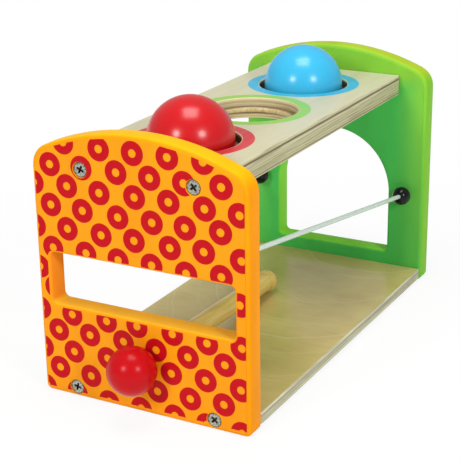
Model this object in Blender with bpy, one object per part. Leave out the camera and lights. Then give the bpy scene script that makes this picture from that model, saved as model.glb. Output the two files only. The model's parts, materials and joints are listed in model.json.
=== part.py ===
"""Pounding bench: two arched end panels joined by a plank with three ball holes and by a base board.

The bench stands on the undersides of its end panels. X is its width, Y its length with the ringed
front panel at -Y, and Z is up. The origin lies on the floor, in the middle of the whole outline,
mallet head included. All lengths are in metres.
"""

import math

import bmesh
import bpy
from mathutils import Matrix, Vector

# Fits
CLEARANCE = 0.0003
OVERRUN = 0.002
EASE = 0.0005

# End panels, one outline for both
PANEL_WIDTH = 0.120
PANEL_THICKNESS = 0.0125
PANEL_EDGE = 0.0022
CROWN_RADIUS = 0.136
SHOULDER_RADIUS = 0.012
FOOT_ROUND = 0.001
OPENING_EDGE = 0.0016

# Boards and openings stacked from the floor up to the crown's top
BASE_LIFT = 0.0018
BASE_THICKNESS = 0.0062
MALLET_HOLE_RISE = 0.0187
SLOT_RISE = 0.0155
SLOT_HEIGHT = 0.0277
RAIL_RISE = 0.0108
PLANK_RISE = 0.0288
PLANK_THICKNESS = 0.0117
CROWN_RISE = 0.0144

# Widths
PLANK_WIDTH = 0.0855
BASE_INSET = 0.0005
SLOT_SIDE = 0.0076
SLOT_CORNER = 0.0030

# Arch in the back panel
ARCH_WEB = 0.0111
ARCH_SILL = 0.0079
ARCH_JAMB = 0.0383
ARCH_CORNER = 0.0028

# Balls, the rings they rest on, and the wood between the holes
BALL_RADIUS = 0.0225
RING_SECTION_RADIUS = 0.0019
RING_SETBACK = 0.0017
RING_BELOW_MIDDLE = 0.00034
HOLE_COUNT = 3
HOLE_WEB = 0.0142
HOLE_WEB_FRONT = 0.0143
HOLE_WEB_BACK = 0.0177

# Countersunk screws
SCREW_HEAD_RADIUS = 0.0037
SCREW_SHANK_RADIUS = 0.0016
SCREW_LENGTH = 0.030
SCREW_POINT = 0.004
SCREW_RIM = 0.0004
PLANK_SCREW_INSET = 0.01135
BASE_SCREW_INSET = 0.0194
BASE_SCREW_RISE = 0.0005
RECESS_ARM = 0.0021
RECESS_WIDTH = 0.0010
RECESS_DEPTH = 0.0014

# Sloping rails and their stop beads
RAIL_RADIUS = 0.0013
RAIL_INSET = 0.0117
RAIL_FALL = 0.0334
RAIL_SEAT = 0.005
BEAD_RADIUS = 0.0055

# Mallet, stored through the front panel with its tail on the base
HANDLE_RADIUS = 0.0055
KNOB_FLARE = 0.0011
KNOB_PLAY = 0.0008
MALLET_HEAD_RADIUS = 0.0125
MALLET_REACH = 0.1385
MALLET_YAW = math.radians(3.3)
HEAD_SEAT_SHARE = 0.25
KNOB_SEAT_SHARE = 0.15
SETTLE_STEPS = 8

# Facets
BALL_SEGMENTS = 32
ROUND_SEGMENTS = 24
HOLE_SEGMENTS = 40
SMALL_SEGMENTS = 14
CROWN_SEGMENTS = 20
CORNER_SEGMENTS = 3
SHOULDER_SEGMENTS = 6
EDGE_SEGMENTS = 3
SECTION_SEGMENTS = 8
SMOOTH_ANGLE = math.radians(35)

# A ball rests on its ring with its centre level with the plank's top
RING_DEPTH = PLANK_THICKNESS / 2 + RING_BELOW_MIDDLE
RING_RADIUS = math.sqrt((BALL_RADIUS + CLEARANCE + RING_SECTION_RADIUS) ** 2 - RING_DEPTH**2)
GROOVE_SECTION_RADIUS = RING_SECTION_RADIUS + CLEARANCE
HOLE_RADIUS = RING_RADIUS + RING_SETBACK
HOLE_PITCH = 2 * HOLE_RADIUS + HOLE_WEB

# Lengths, with the front panel's outer face at y = 0
BAY_LENGTH = HOLE_WEB_FRONT + (HOLE_COUNT - 1) * HOLE_PITCH + 2 * HOLE_RADIUS + HOLE_WEB_BACK
BAY_START = PANEL_THICKNESS
BAY_END = BAY_START + BAY_LENGTH
BODY_LENGTH = BAY_END + PANEL_THICKNESS
BOARD_LENGTH = BAY_LENGTH - 2 * CLEARANCE
FIRST_HOLE = BAY_START + HOLE_WEB_FRONT + HOLE_RADIUS
HOLE_CENTRES = [FIRST_HOLE + i * HOLE_PITCH for i in range(HOLE_COUNT)]

# Heights
KNOB_RADIUS = HANDLE_RADIUS + KNOB_FLARE
MALLET_HOLE_RADIUS = KNOB_RADIUS + KNOB_PLAY
BASE_TOP = BASE_LIFT + BASE_THICKNESS
MALLET_HOLE_HEIGHT = BASE_TOP + MALLET_HOLE_RISE
SLOT_SILL = MALLET_HOLE_HEIGHT + MALLET_HOLE_RADIUS + SLOT_RISE
RAIL_FRONT_HEIGHT = SLOT_SILL + SLOT_HEIGHT + RAIL_RISE
PLANK_MIDDLE = RAIL_FRONT_HEIGHT + PLANK_RISE + PLANK_THICKNESS / 2
PLANK_TOP = PLANK_MIDDLE + PLANK_THICKNESS / 2
PANEL_HEIGHT = PLANK_TOP + CROWN_RISE
BASE_SCREW_HEIGHT = BASE_LIFT + BASE_THICKNESS / 2 + BASE_SCREW_RISE

# Widths and radii
FOOT_RADIUS = PANEL_EDGE + FOOT_ROUND
BASE_WIDTH = PANEL_WIDTH - 2 * BASE_INSET
SLOT_WIDTH = PANEL_WIDTH - 2 * SLOT_SIDE
RAIL_SIDE = PANEL_WIDTH / 2 - RAIL_INSET
ARCH_RADIUS = RAIL_SIDE - ARCH_WEB
PLANK_SCREW_SIDE = PLANK_WIDTH / 2 - PLANK_SCREW_INSET
BASE_SCREW_SIDE = BASE_WIDTH / 2 - BASE_SCREW_INSET
SCREW_PILOT_RADIUS = SCREW_SHANK_RADIUS + CLEARANCE
SCREW_HEAD_DEPTH = SCREW_HEAD_RADIUS - SCREW_SHANK_RADIUS

# Colours, linear, with roughness and metallic value
ORANGE = ((0.90, 0.36, 0.01), 0.42, 0.0)
GREEN = ((0.13, 0.50, 0.06), 0.42, 0.0)
PLYWOOD = ((0.72, 0.62, 0.40), 0.55, 0.0)
BEECH = ((0.68, 0.48, 0.24), 0.50, 0.0)
RED = ((0.72, 0.01, 0.02), 0.22, 0.0)
BLUE = ((0.09, 0.50, 0.85), 0.18, 0.0)
AMBER = ((0.55, 0.36, 0.12), 0.35, 0.0)
BLACK = ((0.01, 0.01, 0.012), 0.15, 0.0)
WHITE = ((0.80, 0.82, 0.78), 0.35, 0.0)
STEEL = ((0.55, 0.55, 0.54), 0.35, 1.0)


def mallet_line():
    """Returns the tail's centre, the head's centre and the unit axis from tail to head.

    The axis runs through the middle of the mallet's hole. The knob rests on the base, and the head
    stops at the hole's mouth.
    """
    middle = BAY_START / 2
    tail = Vector(
        (
            -(MALLET_REACH + middle) * math.tan(MALLET_YAW),
            BAY_START + MALLET_REACH,
            BASE_TOP + KNOB_RADIUS + CLEARANCE,
        )
    )
    axis = (Vector((0, middle, MALLET_HOLE_HEIGHT)) - tail).normalized()
    mouth_radius = MALLET_HOLE_RADIUS + EASE
    stand = 0
    for _ in range(SETTLE_STEPS):
        head = tail + axis * ((tail.y + stand) / -axis.y)
        aside = math.hypot(head.x, head.z - MALLET_HOLE_HEIGHT)
        stand = math.sqrt((MALLET_HEAD_RADIUS + CLEARANCE) ** 2 - (mouth_radius - aside) ** 2)
    return tail, head, axis


MALLET_TAIL, MALLET_HEAD, MALLET_AXIS = mallet_line()
HEAD_OVERHANG = MALLET_HEAD_RADIUS - MALLET_HEAD.y
FRONT_Y = (HEAD_OVERHANG - BODY_LENGTH) / 2


def place(x, y, z):
    """Returns the world point whose y is counted from the front panel's outer face."""
    return Vector((x, y + FRONT_Y, z))


def material(name, finish):
    colour, roughness, metallic = finish
    result = bpy.data.materials.new(name)
    result.use_nodes = True
    shader = result.node_tree.nodes["Principled BSDF"]
    shader.inputs["Base Color"].default_value = (*colour, 1.0)
    shader.inputs["Roughness"].default_value = roughness
    shader.inputs["Metallic"].default_value = metallic
    result.diffuse_color = (*colour, 1.0)
    return result


def new_object(name, bm, finish=None):
    """Makes an object of the bmesh, with faces out and round stretches smooth."""
    bmesh.ops.recalc_face_normals(bm, faces=bm.faces)
    mesh = bpy.data.meshes.new(name)
    bm.to_mesh(mesh)
    bm.free()
    mesh.shade_smooth()
    mesh.set_sharp_from_angle(angle=SMOOTH_ANGLE)
    result = bpy.data.objects.new(name, mesh)
    bpy.context.collection.objects.link(result)
    if finish:
        mesh.materials.append(material(name, finish))
    return result


def arc(centre, radius, start, end, segments):
    """Returns points on an arc, ends included, with its angles in radians."""
    steps = [start + (end - start) * i / segments for i in range(segments + 1)]
    return [(centre[0] + radius * math.cos(a), centre[1] + radius * math.sin(a)) for a in steps]


def panel_outline(inset):
    """Returns the panel's outline, drawn in by inset, anticlockwise from its lower right foot."""
    half = PANEL_WIDTH / 2
    crown_centre = PANEL_HEIGHT - CROWN_RADIUS
    side = half - SHOULDER_RADIUS
    reach = CROWN_RADIUS - SHOULDER_RADIUS
    shoulder = crown_centre + math.sqrt(reach**2 - side**2)
    turn = math.asin(side / reach)
    quarter = math.pi / 2
    foot = half - FOOT_RADIUS
    return (
        arc((foot, FOOT_RADIUS), FOOT_RADIUS - inset, -quarter, 0, CORNER_SEGMENTS)
        + arc((side, shoulder), SHOULDER_RADIUS - inset, 0, quarter - turn, SHOULDER_SEGMENTS)[:-1]
        + arc((0, crown_centre), CROWN_RADIUS - inset, quarter - turn, quarter + turn, CROWN_SEGMENTS)
        + arc((-side, shoulder), SHOULDER_RADIUS - inset, quarter + turn, math.pi, SHOULDER_SEGMENTS)[1:]
        + arc((-foot, FOOT_RADIUS), FOOT_RADIUS - inset, math.pi, 3 * quarter, CORNER_SEGMENTS)
    )


def rounded_rectangle(width, height, corner, middle, grow):
    """Returns a rectangle with round corners, grown by grow on every side."""
    x, y = width / 2 - corner, height / 2 - corner
    result = []
    for i, (sx, sy) in enumerate(((1, -1), (1, 1), (-1, 1), (-1, -1))):
        start = (i - 1) * math.pi / 2
        centre = (middle[0] + sx * x, middle[1] + sy * y)
        result += arc(centre, corner + grow, start, start + math.pi / 2, CORNER_SEGMENTS)
    return result


def slot_outline(grow):
    middle = SLOT_SILL + SLOT_HEIGHT / 2
    return rounded_rectangle(SLOT_WIDTH, SLOT_HEIGHT, SLOT_CORNER, (0, middle), grow)


def arch_outline(grow):
    """Returns the arch: a flat sill with round corners, upright jambs and a half round top."""
    side = ARCH_RADIUS - ARCH_CORNER
    low = BASE_TOP + ARCH_SILL
    spring = low + ARCH_JAMB
    quarter = math.pi / 2
    corner = ARCH_CORNER + grow
    return (
        arc((side, low + ARCH_CORNER), corner, -quarter, 0, CORNER_SEGMENTS)
        + arc((0, spring), ARCH_RADIUS + grow, 0, math.pi, CROWN_SEGMENTS)
        + arc((-side, low + ARCH_CORNER), corner, math.pi, 3 * quarter, CORNER_SEGMENTS)
    )


def circle_outline(radius, middle, segments):
    """Returns a function that gives a circle about middle, grown by its argument."""

    def outline(grow):
        return arc(middle, radius + grow, 0, 2 * math.pi, segments)[:-1]

    return outline


def edge_profile(radius, thickness):
    """Returns (offset, depth) pairs down a board's edge with both its corners rounded."""
    angles = [math.pi / 2 * i / EDGE_SEGMENTS for i in range(EDGE_SEGMENTS + 1)]
    near = [(radius * (1 - math.sin(a)), radius * (1 - math.cos(a))) for a in angles]
    return near + [(offset, thickness - depth) for offset, depth in reversed(near)]


def groove_profile(ease, thickness):
    """Returns the profile of a ball hole's wall, with the groove that seats a retaining ring."""
    half = math.sqrt(GROOVE_SECTION_RADIUS**2 - RING_SETBACK**2)
    start = math.atan2(half, RING_SETBACK)
    angles = [start * (1 - 2 * i / SECTION_SEGMENTS) for i in range(SECTION_SEGMENTS + 1)]
    groove = [
        (
            GROOVE_SECTION_RADIUS * math.cos(a) - RING_SETBACK,
            RING_DEPTH - GROOVE_SECTION_RADIUS * math.sin(a),
        )
        for a in angles
    ]
    return [(ease, 0), (0, ease)] + groove + [(0, thickness - ease), (ease, thickness)]


def board(name, walls, lay, finish):
    """Builds a flat board from walls, each an outline function with its (offset, depth) profile.

    The first wall is the outer edge, and the others are openings. lay turns a point of the outline
    and a depth into a world point.
    """
    bm = bmesh.new()
    ends = ([], [])
    for outline, profile in walls:
        loops = [[bm.verts.new(lay(u, v, depth)) for u, v in outline(offset)] for offset, depth in profile]
        count = len(loops[0])
        for near, far in zip(loops, loops[1:]):
            for i in range(count):
                j = (i + 1) % count
                bm.faces.new((near[i], near[j], far[j], far[i]))
        for loop, edges in zip((loops[0], loops[-1]), ends):
            edges += [bm.edges.get((loop[i], loop[(i + 1) % count])) for i in range(count)]
    for edges in ends:
        bmesh.ops.triangle_fill(bm, edges=edges, use_beauty=True)
    return new_object(name, bm, finish)


def add_turned(bm, profile, matrix, segments, closed=False):
    """Adds a turned body: (radius, height) pairs about the matrix's Z axis, tip first."""
    rings = []
    for radius, height in profile:
        if radius == 0:
            rings.append([bm.verts.new(matrix @ Vector((0, 0, height)))])
            continue
        turns = [2 * math.pi * i / segments for i in range(segments)]
        points = [Vector((radius * math.cos(a), radius * math.sin(a), height)) for a in turns]
        rings.append([bm.verts.new(matrix @ p) for p in points])
    pairs = list(zip(rings, rings[1:])) + ([(rings[-1], rings[0])] if closed else [])
    for low, high in pairs:
        for i in range(segments):
            j = (i + 1) % segments
            corners = [low[i % len(low)], low[j % len(low)], high[j % len(high)], high[i % len(high)]]
            bm.faces.new(list(dict.fromkeys(corners)))


def turned(name, profile, segments, finish, closed=False):
    bm = bmesh.new()
    add_turned(bm, profile, Matrix.Identity(4), segments, closed)
    return new_object(name, bm, finish)


def along(origin, direction):
    """Returns the matrix that puts a turned body's foot at origin and its axis on direction."""
    return Matrix.Translation(origin) @ direction.to_track_quat("Z", "Y").to_matrix().to_4x4()


def rod_profile(radius, start, end):
    return [(0, start), (radius, start), (radius, end), (0, end)]


def globe_profile(radius, segments, bore=0.0):
    """Returns a sphere's profile from its lower pole up, stopped at the mouth of a bore on top."""
    top = math.acos(bore / radius)
    angles = [-math.pi / 2 + (math.pi / 2 + top) * i / segments for i in range(segments + 1)]
    points = [(radius * math.cos(a), radius * math.sin(a)) for a in angles]
    return [(0, -radius)] + points[1:-1] + [(bore, radius * math.sin(top))]


def cutter(name, target, bodies):
    """Cuts turned bodies out of target. Each is a profile with its matrix and segment count."""
    bm = bmesh.new()
    for profile, matrix, segments in bodies:
        add_turned(bm, profile, matrix, segments)
    tool = new_object(name, bm)
    tool.hide_render = True
    tool.display_type = "WIRE"
    cut(target, tool)


def cut(target, tool):
    modifier = target.modifiers.new(tool.name, "BOOLEAN")
    modifier.operation = "DIFFERENCE"
    modifier.solver = "EXACT"
    modifier.object = tool


# Screws

def screw_matrices():
    """Yields each screw's name, the board it enters, its end of the bench and its matrix."""
    rows = (("plank", PLANK_SCREW_SIDE, PLANK_MIDDLE), ("base", BASE_SCREW_SIDE, BASE_SCREW_HEIGHT))
    for end, face, inward in (("front", 0, 1), ("back", BODY_LENGTH, -1)):
        for word, side, height in rows:
            for hand, x in (("left", -side), ("right", side)):
                head = place(x, face + inward * SCREW_RIM, height)
                yield f"screw_{end}_{word}_{hand}", word, end, along(head, Vector((0, inward, 0)))


def make_screw(name, matrix):
    """Makes a countersunk screw whose head's face is at the matrix's origin, with a cross recess."""
    profile = [
        (0, 0),
        (SCREW_HEAD_RADIUS, 0),
        (SCREW_HEAD_RADIUS, SCREW_RIM),
        (SCREW_SHANK_RADIUS, SCREW_RIM + SCREW_HEAD_DEPTH),
        (SCREW_SHANK_RADIUS, SCREW_LENGTH - SCREW_POINT),
        (0, SCREW_LENGTH),
    ]
    screw = turned(name, profile, SMALL_SEGMENTS, STEEL)
    bm = bmesh.new()
    half = RECESS_WIDTH / 2
    corners = [(half, half), (half, RECESS_ARM), (-half, RECESS_ARM)]
    turns = [Matrix.Rotation(math.pi / 2 * i, 2) for i in range(4)]
    outline = [turn @ Vector(corner) for turn in turns for corner in corners]
    for depth in (-OVERRUN, RECESS_DEPTH):
        for point in outline:
            bm.verts.new((point.x, point.y, depth))
    bm.verts.ensure_lookup_table()
    count = len(outline)
    low, high = bm.verts[:count], bm.verts[count:]
    bm.faces.new(low)
    bm.faces.new(high)
    for i in range(count):
        j = (i + 1) % count
        bm.faces.new((low[i], low[j], high[j], high[i]))
    recess = new_object(f"{name}_recess", bm)
    recess.hide_render = True
    recess.display_type = "WIRE"
    cut(screw, recess)
    for item in (screw, recess):
        item.matrix_world = matrix


def countersink(matrix):
    """Returns the hole in a panel for one screw: its cone, and its shank's way through."""
    mouth = SCREW_HEAD_RADIUS + CLEARANCE
    profile = [
        (0, -OVERRUN),
        (mouth, -OVERRUN),
        (mouth, SCREW_RIM + CLEARANCE),
        (SCREW_PILOT_RADIUS, SCREW_RIM + CLEARANCE + SCREW_HEAD_DEPTH),
        (SCREW_PILOT_RADIUS, PANEL_THICKNESS + OVERRUN),
        (0, PANEL_THICKNESS + OVERRUN),
    ]
    return profile, matrix, SMALL_SEGMENTS


def pilot(matrix):
    """Returns the hole in a board's end for one screw."""
    return rod_profile(SCREW_PILOT_RADIUS, 0, SCREW_LENGTH + CLEARANCE), matrix, SMALL_SEGMENTS


# Rails

RAIL_SLOPE = math.atan2(RAIL_FALL, BAY_LENGTH)
RAIL_AXIS = Vector((0, math.cos(RAIL_SLOPE), -math.sin(RAIL_SLOPE)))


def rail_point(side, y):
    """Returns the point of a rail's centre line at a distance y behind the front face."""
    drop = (y - BAY_START) * math.tan(RAIL_SLOPE)
    return place(side * RAIL_SIDE, y, RAIL_FRONT_HEIGHT - drop)


def rail_matrix(side):
    start = BAY_START - RAIL_SEAT * math.cos(RAIL_SLOPE)
    return along(rail_point(side, start), RAIL_AXIS)


def rail_length():
    return BAY_LENGTH / math.cos(RAIL_SLOPE) + 2 * RAIL_SEAT


def rail_socket(side):
    """Returns the cut that seats a rail's ends in both panels."""
    profile = rod_profile(RAIL_RADIUS + CLEARANCE, -CLEARANCE, rail_length() + CLEARANCE)
    return profile, rail_matrix(side), SMALL_SEGMENTS


def make_rails():
    for side, word in ((-1, "left"), (1, "right")):
        rod = turned(f"rail_{word}", rod_profile(RAIL_RADIUS, 0, rail_length()), SMALL_SEGMENTS, WHITE)
        rod.matrix_world = rail_matrix(side)
        stand = BEAD_RADIUS + CLEARANCE
        for end, y in (("front", BAY_START + stand), ("back", BAY_END - stand)):
            bead = turned(f"bead_{end}_{word}", bead_profile(), SMALL_SEGMENTS, BLACK, closed=True)
            bead.matrix_world = along(rail_point(side, y), RAIL_AXIS)


def bead_profile():
    """Returns the outline of a bead's section, round its bore and its bulging side."""
    bore = RAIL_RADIUS + CLEARANCE
    top = math.acos(bore / BEAD_RADIUS)
    angles = [top * (2 * i / SECTION_SEGMENTS - 1) for i in range(SECTION_SEGMENTS + 1)]
    return [(BEAD_RADIUS * math.cos(a), BEAD_RADIUS * math.sin(a)) for a in angles]


# Boards

def lay_upright(face):
    """Returns a function that stands an outline up across the bench, its depth running back."""
    return lambda u, v, depth: place(u, face + depth, v)


def lay_flat(top):
    """Returns a function that lays an outline flat, its depth running down from top."""
    return lambda u, v, depth: place(u, v, top - depth)


def make_panels():
    edge = edge_profile(PANEL_EDGE, PANEL_THICKNESS)
    opening = edge_profile(OPENING_EDGE, PANEL_THICKNESS)
    mallet_hole = circle_outline(MALLET_HOLE_RADIUS, (0, MALLET_HOLE_HEIGHT), ROUND_SEGMENTS)
    hole_edge = edge_profile(EASE, PANEL_THICKNESS)
    front_walls = [(panel_outline, edge), (slot_outline, opening), (mallet_hole, hole_edge)]
    back_walls = [(panel_outline, edge), (arch_outline, opening)]
    for end, face, walls, finish in (
        ("front", 0, front_walls, ORANGE),
        ("back", BAY_END, back_walls, GREEN),
    ):
        panel = board(f"{end}_panel", walls, lay_upright(face), finish)
        sinks = [countersink(matrix) for _, _, where, matrix in screw_matrices() if where == end]
        cutter(f"{end}_panel_holes", panel, sinks + [rail_socket(side) for side in (-1, 1)])


def make_boards():
    middle = (0, (BAY_START + BAY_END) / 2)

    def plank_outline(inset):
        return rounded_rectangle(PLANK_WIDTH, BOARD_LENGTH, EASE, middle, -inset)

    def base_outline(inset):
        return rounded_rectangle(BASE_WIDTH, BOARD_LENGTH, EASE, middle, -inset)

    wall = groove_profile(EASE, PLANK_THICKNESS)
    holes = [(circle_outline(HOLE_RADIUS, (0, y), HOLE_SEGMENTS), wall) for y in HOLE_CENTRES]
    plank_edge = [(plank_outline, chamfer_profile(PLANK_THICKNESS))]
    plank = board("plank", plank_edge + holes, lay_flat(PLANK_TOP), PLYWOOD)
    base = board("base", [(base_outline, chamfer_profile(BASE_THICKNESS))], lay_flat(BASE_TOP), PLYWOOD)
    for word, target in (("plank", plank), ("base", base)):
        pilots = [pilot(matrix) for _, where, _, matrix in screw_matrices() if where == word]
        cutter(f"{word}_pilots", target, pilots)


def chamfer_profile(thickness):
    """Returns the profile of a board's edge with both its corners eased."""
    ease = EASE / 2
    return [(ease, 0), (0, ease), (0, thickness - ease), (ease, thickness)]


# Balls and rings

def make_balls():
    for colour, y, finish in (("red", HOLE_CENTRES[0], RED), ("blue", HOLE_CENTRES[2], BLUE)):
        profile = globe_profile(BALL_RADIUS, BALL_SEGMENTS // 2)
        ball = turned(f"ball_{colour}", profile, BALL_SEGMENTS, finish)
        ball.location = place(0, y, PLANK_TOP)


def make_rings():
    turns = [2 * math.pi * i / SECTION_SEGMENTS for i in range(SECTION_SEGMENTS)]
    profile = [
        (RING_RADIUS + RING_SECTION_RADIUS * math.cos(a), RING_SECTION_RADIUS * math.sin(a))
        for a in turns
    ]
    for word, y in zip(("front", "middle", "back"), HOLE_CENTRES):
        ring = turned(f"retaining_ring_{word}", profile, HOLE_SEGMENTS, AMBER, closed=True)
        ring.location = place(0, y, PLANK_TOP - RING_DEPTH)


# Mallet

def make_mallet():
    """Makes the mallet's three pieces under an empty on its axis, at the head's centre."""
    hub = bpy.data.objects.new("mallet_axis", None)
    bpy.context.collection.objects.link(hub)
    head_centre = place(*MALLET_HEAD)
    hub.matrix_world = along(head_centre, MALLET_AXIS)
    length = (MALLET_HEAD - MALLET_TAIL).length
    head_seat = MALLET_HEAD_RADIUS * HEAD_SEAT_SHARE
    knob_seat = KNOB_RADIUS * KNOB_SEAT_SHARE
    bore = HANDLE_RADIUS + CLEARANCE
    half_turn = Matrix.Rotation(math.pi, 4, "X")

    head_profile = drilled_globe(MALLET_HEAD_RADIUS, bore, head_seat - CLEARANCE)
    head = turned("mallet_head", head_profile, ROUND_SEGMENTS, RED)
    head.parent = hub
    head.matrix_local = half_turn

    knob_profile = drilled_globe(KNOB_RADIUS, bore, knob_seat - CLEARANCE)
    knob = turned("mallet_knob", knob_profile, ROUND_SEGMENTS, BEECH)
    knob.parent = hub
    knob.matrix_local = Matrix.Translation((0, 0, -length))

    handle_profile = rod_profile(HANDLE_RADIUS, knob_seat - length, -head_seat)
    handle = turned("mallet_handle", handle_profile, ROUND_SEGMENTS, BEECH)
    handle.parent = hub


def drilled_globe(radius, bore, depth):
    """Returns the profile of a ball with a blind bore from its top down to depth above its middle."""
    return globe_profile(radius, ROUND_SEGMENTS // 2, bore) + [(bore, depth), (0, depth)]


def main():
    for item in list(bpy.data.objects):
        bpy.data.objects.remove(item, do_unlink=True)
    make_panels()
    make_boards()
    make_balls()
    make_rings()
    make_rails()
    make_mallet()
    for name, _, _, matrix in screw_matrices():
        make_screw(name, matrix)


main()
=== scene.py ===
import json
import math

import bmesh
import bpy
from mathutils import Matrix, Vector


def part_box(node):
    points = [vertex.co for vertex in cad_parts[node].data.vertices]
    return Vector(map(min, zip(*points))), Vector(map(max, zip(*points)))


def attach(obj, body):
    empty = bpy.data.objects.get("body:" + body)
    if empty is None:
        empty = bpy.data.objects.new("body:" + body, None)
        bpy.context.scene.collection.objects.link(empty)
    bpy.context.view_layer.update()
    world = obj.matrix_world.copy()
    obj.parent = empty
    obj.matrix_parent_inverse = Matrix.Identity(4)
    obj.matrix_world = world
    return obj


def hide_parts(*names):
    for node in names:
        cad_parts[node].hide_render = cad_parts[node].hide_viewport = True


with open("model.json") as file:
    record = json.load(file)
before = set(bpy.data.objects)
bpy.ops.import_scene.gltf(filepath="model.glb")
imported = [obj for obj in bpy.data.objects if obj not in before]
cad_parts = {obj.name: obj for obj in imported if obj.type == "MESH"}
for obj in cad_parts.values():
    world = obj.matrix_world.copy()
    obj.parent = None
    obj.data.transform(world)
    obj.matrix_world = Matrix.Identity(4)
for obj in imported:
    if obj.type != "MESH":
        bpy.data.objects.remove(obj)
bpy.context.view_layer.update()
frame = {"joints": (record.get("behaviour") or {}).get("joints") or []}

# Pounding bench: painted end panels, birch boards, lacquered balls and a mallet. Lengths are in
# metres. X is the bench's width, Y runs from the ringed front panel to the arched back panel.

QUARTER = math.pi / 2
HALF_TURN = 2 * QUARTER
FULL_TURN = 4 * QUARTER
UP = Vector((0, 0, 1))

# The boards' flat faces, and the front panel's outer one, have the second of two finishes
SECOND_FINISH = 1

# Panels: their rounded edges, with the lip that the cutter leaves, and the openings
PANEL_EDGE = 0.0019
EDGE_LIP = 0.0003
CROWN_RADIUS = 0.136
SHOULDER_RADIUS = 0.012
FOOT_RADIUS = 0.0032
OPENING_EDGE = 0.0016
SLOT_MARGIN = 0.0076
SLOT_SILL = 0.0496
SLOT_TOP = 0.0773
SLOT_CORNER = 0.0030
ARCH_RADIUS = 0.0372
ARCH_SILL = 0.0159
ARCH_SPRING = 0.0542
ARCH_CORNER = 0.0028
MALLET_HOLE_RADIUS = 0.0074
MALLET_HOLE_HEIGHT = 0.0267

# Boards, with the ball holes and the grooves for the elastic rings
BOARD_CORNER = 0.0012
BOARD_EASE = 0.0005
FLAT_RIM = 0.0004
BALL_HOLE_RADIUS = 0.0256
GROOVE_SECTION_RADIUS = 0.0022
RING_SECTION_RADIUS = 0.0019
# Heights from the elastic ring's middle over which painted shade darkens it at its groove
RING_SHADE_BAND = (0.5 * RING_SECTION_RADIUS, 0.85 * RING_SECTION_RADIUS)

# Screws
SCREW_HEAD_RADIUS = 0.0037
SCREW_SHANK_RADIUS = 0.0016
SCREW_RIM = 0.0004
SCREW_POINT = 0.004
SCREW_PLAY = 0.0003
SINK_LIP = 0.00015
CUT_BEYOND = 0.002
RECESS_ARM = 0.0021
RECESS_WIDTH = 0.0010
RECESS_DEPTH = 0.0014
RECESS_TAPER = 0.00025
SCREW_TURNS = (0.45, 0.95, 0.25, 0.75)

# Rails and beads
RAIL_RADIUS = 0.0013
BEAD_RADIUS = 0.0055
BEAD_PLAY = 0.0002
BEAD_LIP = 0.0004

# Mallet
HANDLE_RADIUS = 0.0055
KNOB_RADIUS = 0.0066
MALLET_HEAD_RADIUS = 0.0125
HEAD_SEAT = 0.0031
KNOB_SEAT = 0.0010
BORE_PLAY = 0.0001

# How finely round stretches are cut
CROWN_STEPS = 72
CORNER_STEPS = 8
EDGE_STEPS = 6
HOLE_STEPS = 96
SMALL_STEPS = 40
BALL_STEPS = 96
SECTION_STEPS = 14
EASE_STEPS = 3
SHARP = math.radians(38)
FLAT_ENOUGH = 0.999

# Ring print: a row's rings sit one column apart, and the next row's are shifted by half of that.
# The print is uneven: each ring is a little off its place, by a shift that is drawn for it. A shift
# reaches half of SHIFT_SPAN either way, and SHIFT_DRAW picks one of the possible draws.
PRINT_COLUMN = 0.01908
PRINT_ROW = 0.01097
PRINT_START = (-0.0017, 0.1131)
PRINT_TILT = 0.0037
SHIFT_SPAN = 0.0016
SHIFT_DRAW = 1
PRINT_OUTER = 0.0061
PRINT_INNER = 0.0021

# Two rows sit lower by ROW_DROP: the lowest, and the one that the slot's sill cuts
LAST_ROW_TOP = 0.0130
SLOT_ROW = (0.0364, 0.0584)
ROW_DROP = 0.0012

# Where the print ends: at the foot, shoulders and crown, and this far behind the panel's face. Its
# edges are a little soft and frayed.
PRINT_DEPTH = 0.0001
PRINT_FOOT = 0.0029
PRINT_SHOULDER = (0.0520, 0.1270)
PRINT_CROWN = 0.1360
PRINT_SOFT = 0.00012
PRINT_FRAY = 0.00025

# Stained ring round each ball hole
STAIN_RADIUS = 0.0322

# Pale veins in the base board's veneer: U-shaped lines a pitch apart along Y, and fainter ones
# between them
VEIN_PITCH = 0.054
VEIN_START = (0.020, -0.010)
VEIN_BEND = 14.0
VEIN_SWAY = 0.022
VEIN_HALF = 0.0003
VEIN_FADE = 4 * VEIN_HALF
VEIN_SHARE = 0.28
FAINT_PITCH = 0.73 * VEIN_PITCH
FAINT_START = 0.021
FAINT_FADE = 6 * VEIN_HALF
FAINT_SHARE = 0.10

# How far the plank's grain and both boards' plies sway, and how far the grain is drawn out along Y
GRAIN_SWAY = 0.006
GRAIN_DRAWN = 0.06
PLY_SWAY = 0.00035

# Painted light and shade on the panels, by height and by distance from their middle: where the
# paint lightens on the faces and on the crown's ledges, what the plank doesn't shelter with painted
# shade, with its share at the foot, and how far the openings reach. The last two say how square a
# face looks along Y to count as flat, and up to count as a ledge.
PAINT_LIGHTENS = (0.02, 0.14)
LEDGE_LIGHTENS = (0.09, 0.12)
BESIDE_PLANK = (0.041, 0.057)
ABOVE_PLANK = (0.118, 0.128)
FOOT_SHARE = 0.3
OPENING_SIDE = (0.053, 0.056)
OPENING_TOP = (0.093, 0.11)
FLAT_FACE = (0.35, 0.9)
LEDGE = (0.3, 0.9)

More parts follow.
